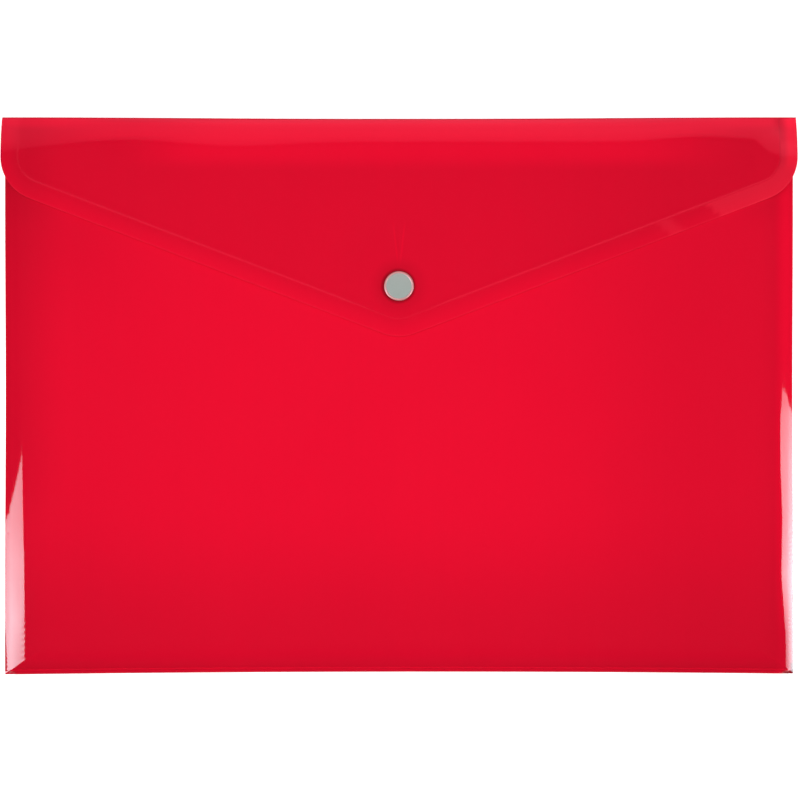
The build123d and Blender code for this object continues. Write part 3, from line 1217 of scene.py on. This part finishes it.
def build_floor():
    """A wide pale floor: white to the eye and in reflections, and shaded by the wallet."""
    mesh = bpy.data.meshes.new("floor")
    signs = ((-1, -1), (1, -1), (1, 1), (-1, 1))
    corners = [(across * floor_reach, up * floor_reach, floor_level) for across, up in signs]
    mesh.from_pydata(corners, [], [(0, 1, 2, 3)])
    material, tree, shader = new_material("floor")
    shader.inputs["Base Color"].default_value = FLOOR_COLOUR
    shader.inputs["Roughness"].default_value = FLOOR_ROUGHNESS
    shader.inputs["Specular IOR Level"].default_value = 0.0
    path = add_node(tree, "ShaderNodeLightPath").outputs
    seen = arithmetic(tree, "MAXIMUM", path["Is Camera Ray"], path["Is Glossy Ray"])
    seen = arithmetic(tree, "MAXIMUM", seen, path["Is Transmission Ray"])
    shader.inputs["Emission Color"].default_value = WHITE
    tree.links.new(product(tree, seen, FLOOR_GLOW), shader.inputs["Emission Strength"])
    mesh.materials.append(material)
    floor = add_object("floor", mesh)


HORIZON_RISE = (0.02, 0.14)
HORIZON_GLOW = (1.0, 0.07)


def build_world():
    """A dim room that is pale at the horizon."""
    world = bpy.data.worlds.new("world")
    bpy.context.scene.world = world
    world.use_nodes = True
    tree = world.node_tree
    direction = add_node(tree, "ShaderNodeTexCoord").outputs["Generated"]
    rise = add_node(tree, "ShaderNodeSeparateXYZ", {"Vector": direction}).outputs["Z"]
    background = tree.nodes["Background"]
    background.inputs["Color"].default_value = WHITE
    tree.links.new(mapped(tree, rise, HORIZON_RISE, HORIZON_GLOW), background.inputs["Strength"])


def add_lamp(name, place, target, size, radiance):
    """A rectangular lamp of even radiance that faces a target and doesn't show in gloss."""
    data = bpy.data.lights.new(name, "AREA")
    data.shape = "RECTANGLE"
    data.size, data.size_y = size
    data.energy = radiance * math.pi * math.prod(size)
    lamp = add_object(name, data)
    lamp.location = place
    lamp.rotation_euler = (Vector(target) - Vector(place)).to_track_quat("-Z", "Y").to_euler()
    lamp.visible_camera = False
    lamp.visible_glossy = False


MIRROR_TRIES = 8
mirror_step = 0.01


def mirrored(x, y, plane):
    """Where the camera's ray to a place on a side flank meets an upright plane after its reflection."""
    start = x
    for _ in range(MIRROR_TRIES):
        start = x - float(body_spread(start, y))
    ahead = start + mirror_step + float(body_spread(start + mirror_step, y))
    fall = float(side_level(start) - side_level(start + mirror_step))
    normal = Vector((fall, 0.0, ahead - x)).normalized()
    point = Vector((x, y, float(side_level(start)))) * MM
    ray = (point - camera.location).normalized().reflect(normal)
    return point + ray * ((plane - point.x) / ray.x)


def add_card(name, rows, colour):
    """A glowing card that only shows in gloss. A row is pairs of a point and the radiance there."""
    mesh = bpy.data.meshes.new(name)
    points = [tuple(point) for row in rows for point, level in row]
    levels = [level for row in rows for point, level in row]
    mesh.from_pydata(points, [], grid_faces(numbered((len(rows), len(rows[0])))))
    material, tree, shader = new_material(name)
    shader.inputs["Base Color"].default_value = BLACK
    shader.inputs["Specular IOR Level"].default_value = 0.0
    shader.inputs["Emission Color"].default_value = (*colour, 1.0)
    tree.links.new(stored(tree, "radiance"), shader.inputs["Emission Strength"])
    mesh.materials.append(material)
    card = add_object(name, mesh)
    set_attribute(card, "radiance", levels)
    card.visible_camera = False
    card.visible_diffuse = False
    card.visible_shadow = False


# Where the two side cards show in the flanks: a height up the wallet in millimetres, then places across it,
# each with the radiance there
LEFT_GLOW = [
    (-25.4, (-160.4, 6.0), (-160.3, 6.0), (-160.2, 6.0)),
    (-53.0, (-167.6, 7.0), (-165.2, 8.5), (-159.75, 7.0)),
    (-70.0, (-167.8, 6.8), (-165.0, 10.9), (-159.33, 9.0)),
    (-95.7, (-167.8, 8.5), (-164.8, 14.0), (-159.12, 9.6)),
    (-118.0, (-166.7, 11.0), (-165.4, 12.0), (-159.0, 5.0)),
]
RIGHT_GLOW = [
    (2.5, (164.0, 5.0), (163.4, 4.6), (162.9, 4.0)),
    (-1.9, (165.9, 4.6), (164.4, 4.9), (162.8, 4.3)),
    (-8.0, (167.5, 8.6), (165.2, 6.6), (162.2, 5.6)),
    (-27.5, (167.7, 12.5), (165.2, 8.1), (162.2, 6.6)),
    (-51.0, (167.8, 15.0), (165.2, 9.0), (163.05, 7.0)),
    (-76.0, (167.9, 22.0), (165.2, 12.0), (162.6, 7.8)),
    (-102.0, (167.9, 19.0), (166.0, 8.4), (164.6, 4.2)),
    (-118.0, (167.9, 17.0), (166.2, 8.0), (164.7, 3.0)),
]
# The last row is repeated at this height, and the cards stand this many metres out on both sides
CARD_END = -320.0
CARD_PLACE = 0.5
COOL_WHITE = (0.85, 1.0, 1.1)


def add_side_card(name, glow, plane):
    """A card beside the wallet, cut so that its mirror image covers the given stretch of a flank."""
    whole = [*glow, (CARD_END, *glow[-1][1:])]
    rows = [[(mirrored(x, y, plane), level) for x, level in spots] for y, *spots in whole]
    add_card(name, rows, COOL_WHITE)


# Card above the top edge: a distance up and the radiance there, and how much of it each end has
TOP_GLOW = (
    (0.295, 0.50),
    (0.38, 0.72),
    (0.47, 0.90),
    (0.565, 1.03),
    (0.66, 1.08),
    (0.77, 1.35),
    (0.855, 2.00),
    (1.02, 2.90),
)
TOP_LEVEL = 1.0
TOP_ENDS = ((-0.6, 0.75), (0.6, 1.5))
WARM_RED = (2.0, 0.30, 0.47)


def add_top_card():
    """A card high above the top edge, brighter to the right, which glows in the slope of the crease."""
    rows = [[((x, y, TOP_LEVEL), level * share) for x, share in TOP_ENDS] for y, level in TOP_GLOW]
    add_card("top_card", rows, WARM_RED)


build_floor()
build_world()
add_lamp("fill", place=(-0.04, 0.02, 0.5), target=(-0.04, 0.02, 0.0), size=(1.3, 0.5), radiance=2.25)
add_lamp("front_fill", place=(0.0, -0.7, 0.35), target=(0.0, 0.0, 0.0), size=(0.6, 0.3), radiance=1.2)
add_side_card("left_card", LEFT_GLOW, -CARD_PLACE)
add_side_card("right_card", RIGHT_GLOW, CARD_PLACE)
add_top_card()

view = bpy.context.scene.view_settings
view.view_transform = "Standard"
